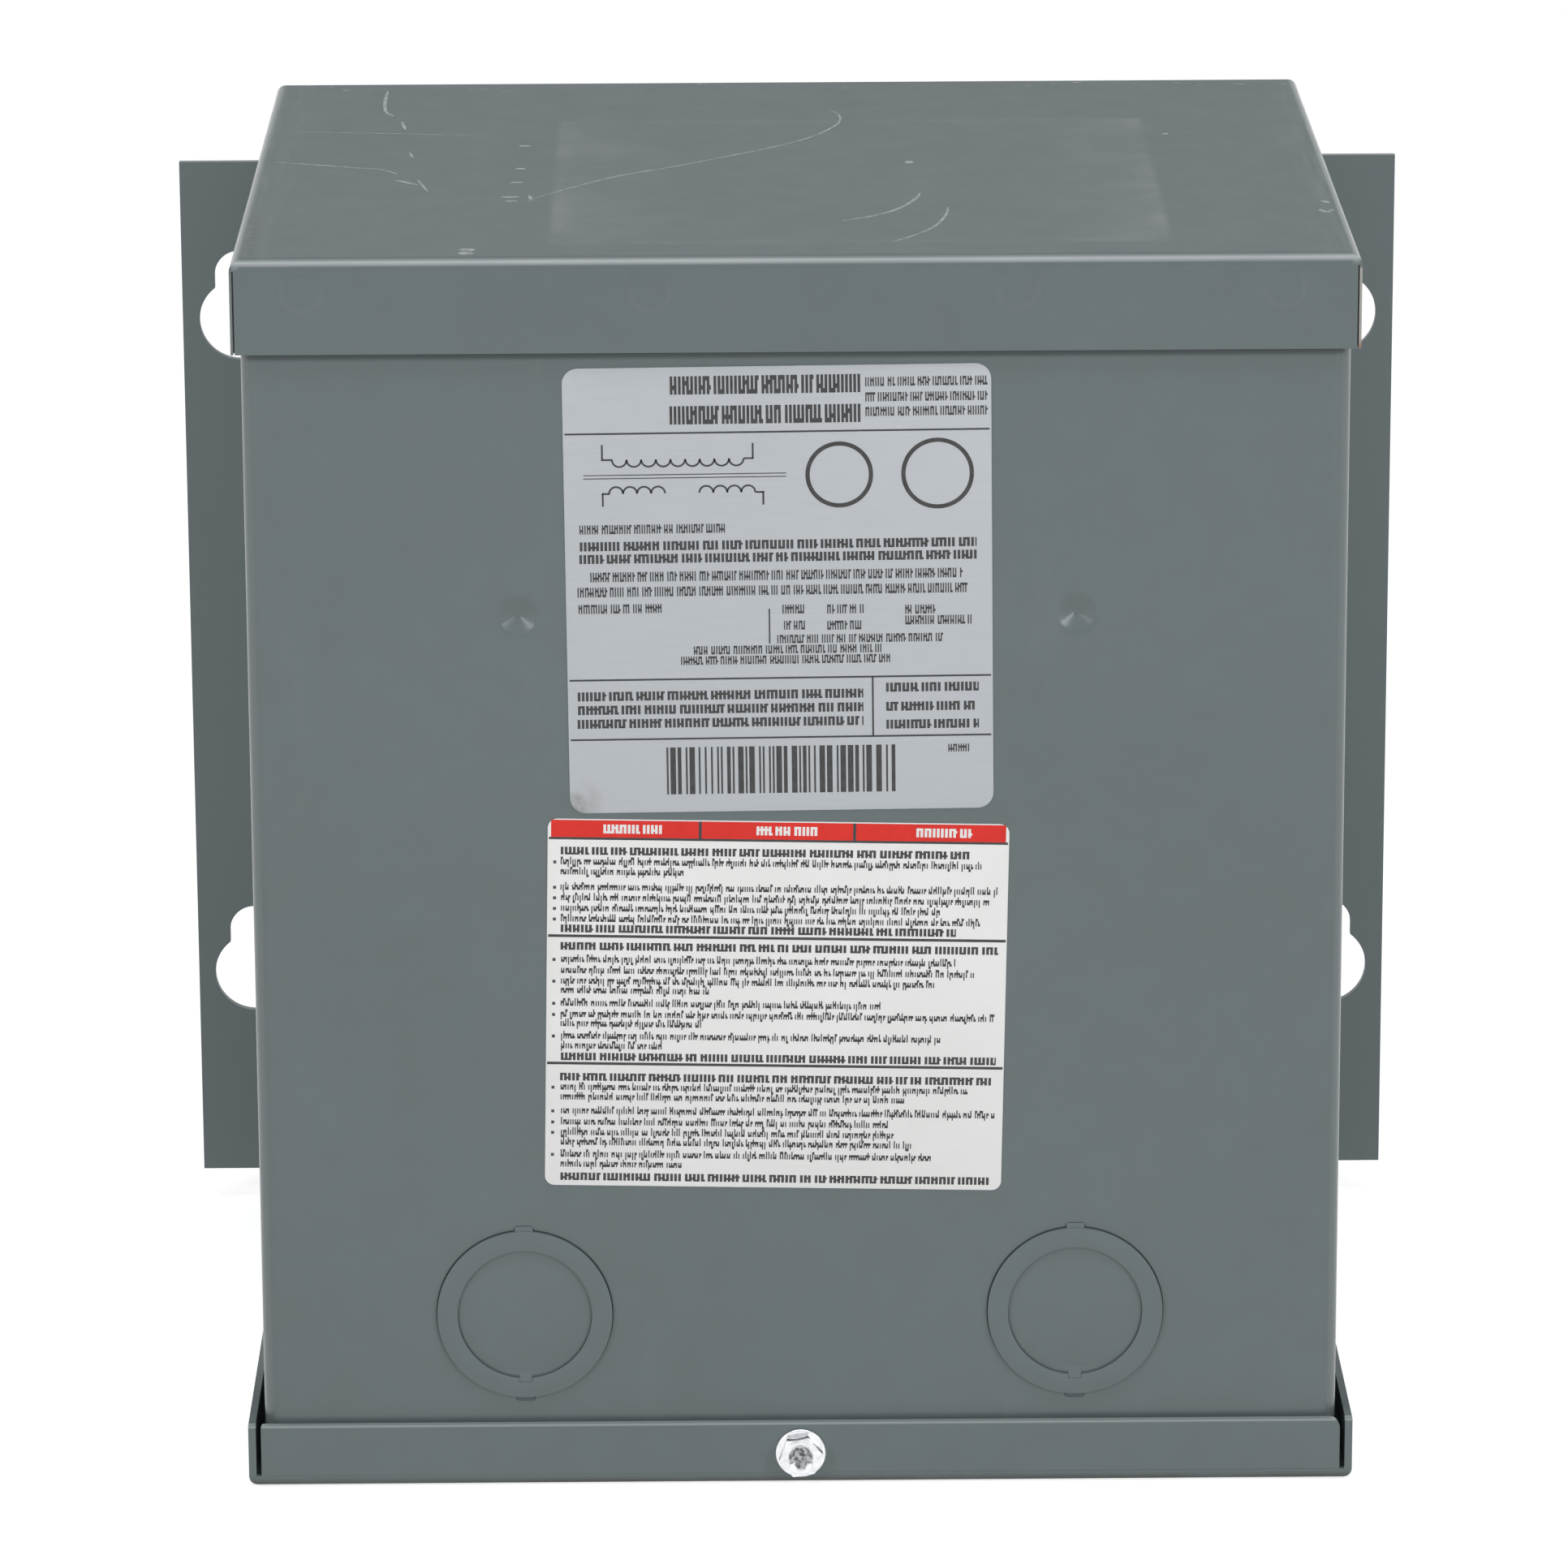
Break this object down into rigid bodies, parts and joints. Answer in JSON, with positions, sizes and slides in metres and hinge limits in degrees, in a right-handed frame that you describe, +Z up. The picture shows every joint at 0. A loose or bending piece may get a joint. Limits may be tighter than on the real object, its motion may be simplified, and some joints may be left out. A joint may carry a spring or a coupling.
{
  "type": "dry-type transformer",
  "caption": "Small wall-mounted dry-type transformer in a grey folded sheet-steel rainproof box, with a lipped top cover, a keyholed back plate and a screwed bottom cover.",
  "frame": {"origin": "on the floor, under the middle of the bounding box", "axes": "+Z up, +Y towards the wall behind the back plate, -Y towards the front with the labels, +X to the right seen from the front"},
  "size_m": [0.216, 0.1536, 0.208],
  "materials": {
    "box_paint": "smooth grey enamel, satin",
    "plate_paint": "smooth grey enamel, satin",
    "zinc": "bright zinc plate",
    "foil": "silver-grey polyester film, printed rules",
    "white_film": "white vinyl film with a red band",
    "core_steel": "varnished laminations",
    "former": "moulded",
    "copper": "enamelled copper winding",
    "resin": "cast resin and sand"
  },
  "bodies": {
    "root": {"body_wrap": "box_paint", "top_cover": "box_paint", "back_plate": "plate_paint", "bottom_cover": "box_paint", "cover_screw": "zinc", "knockout_ring_left": "box_paint", "knockout_ring_right": "box_paint", "knockout_disc_left": "box_paint", "knockout_disc_right": "box_paint", "rating_plate": "foil", "notice_label": "white_film", "compartment_shelf": "box_paint", "core_foot_left": "core_steel", "core_foot_right": "core_steel", "core_stack": "core_steel", "coil_former": "former", "primary_coil": "copper", "secondary_coil": "copper", "core_bolts": "zinc", "cast_filling": "resin"}
  },
  "joints": []
}
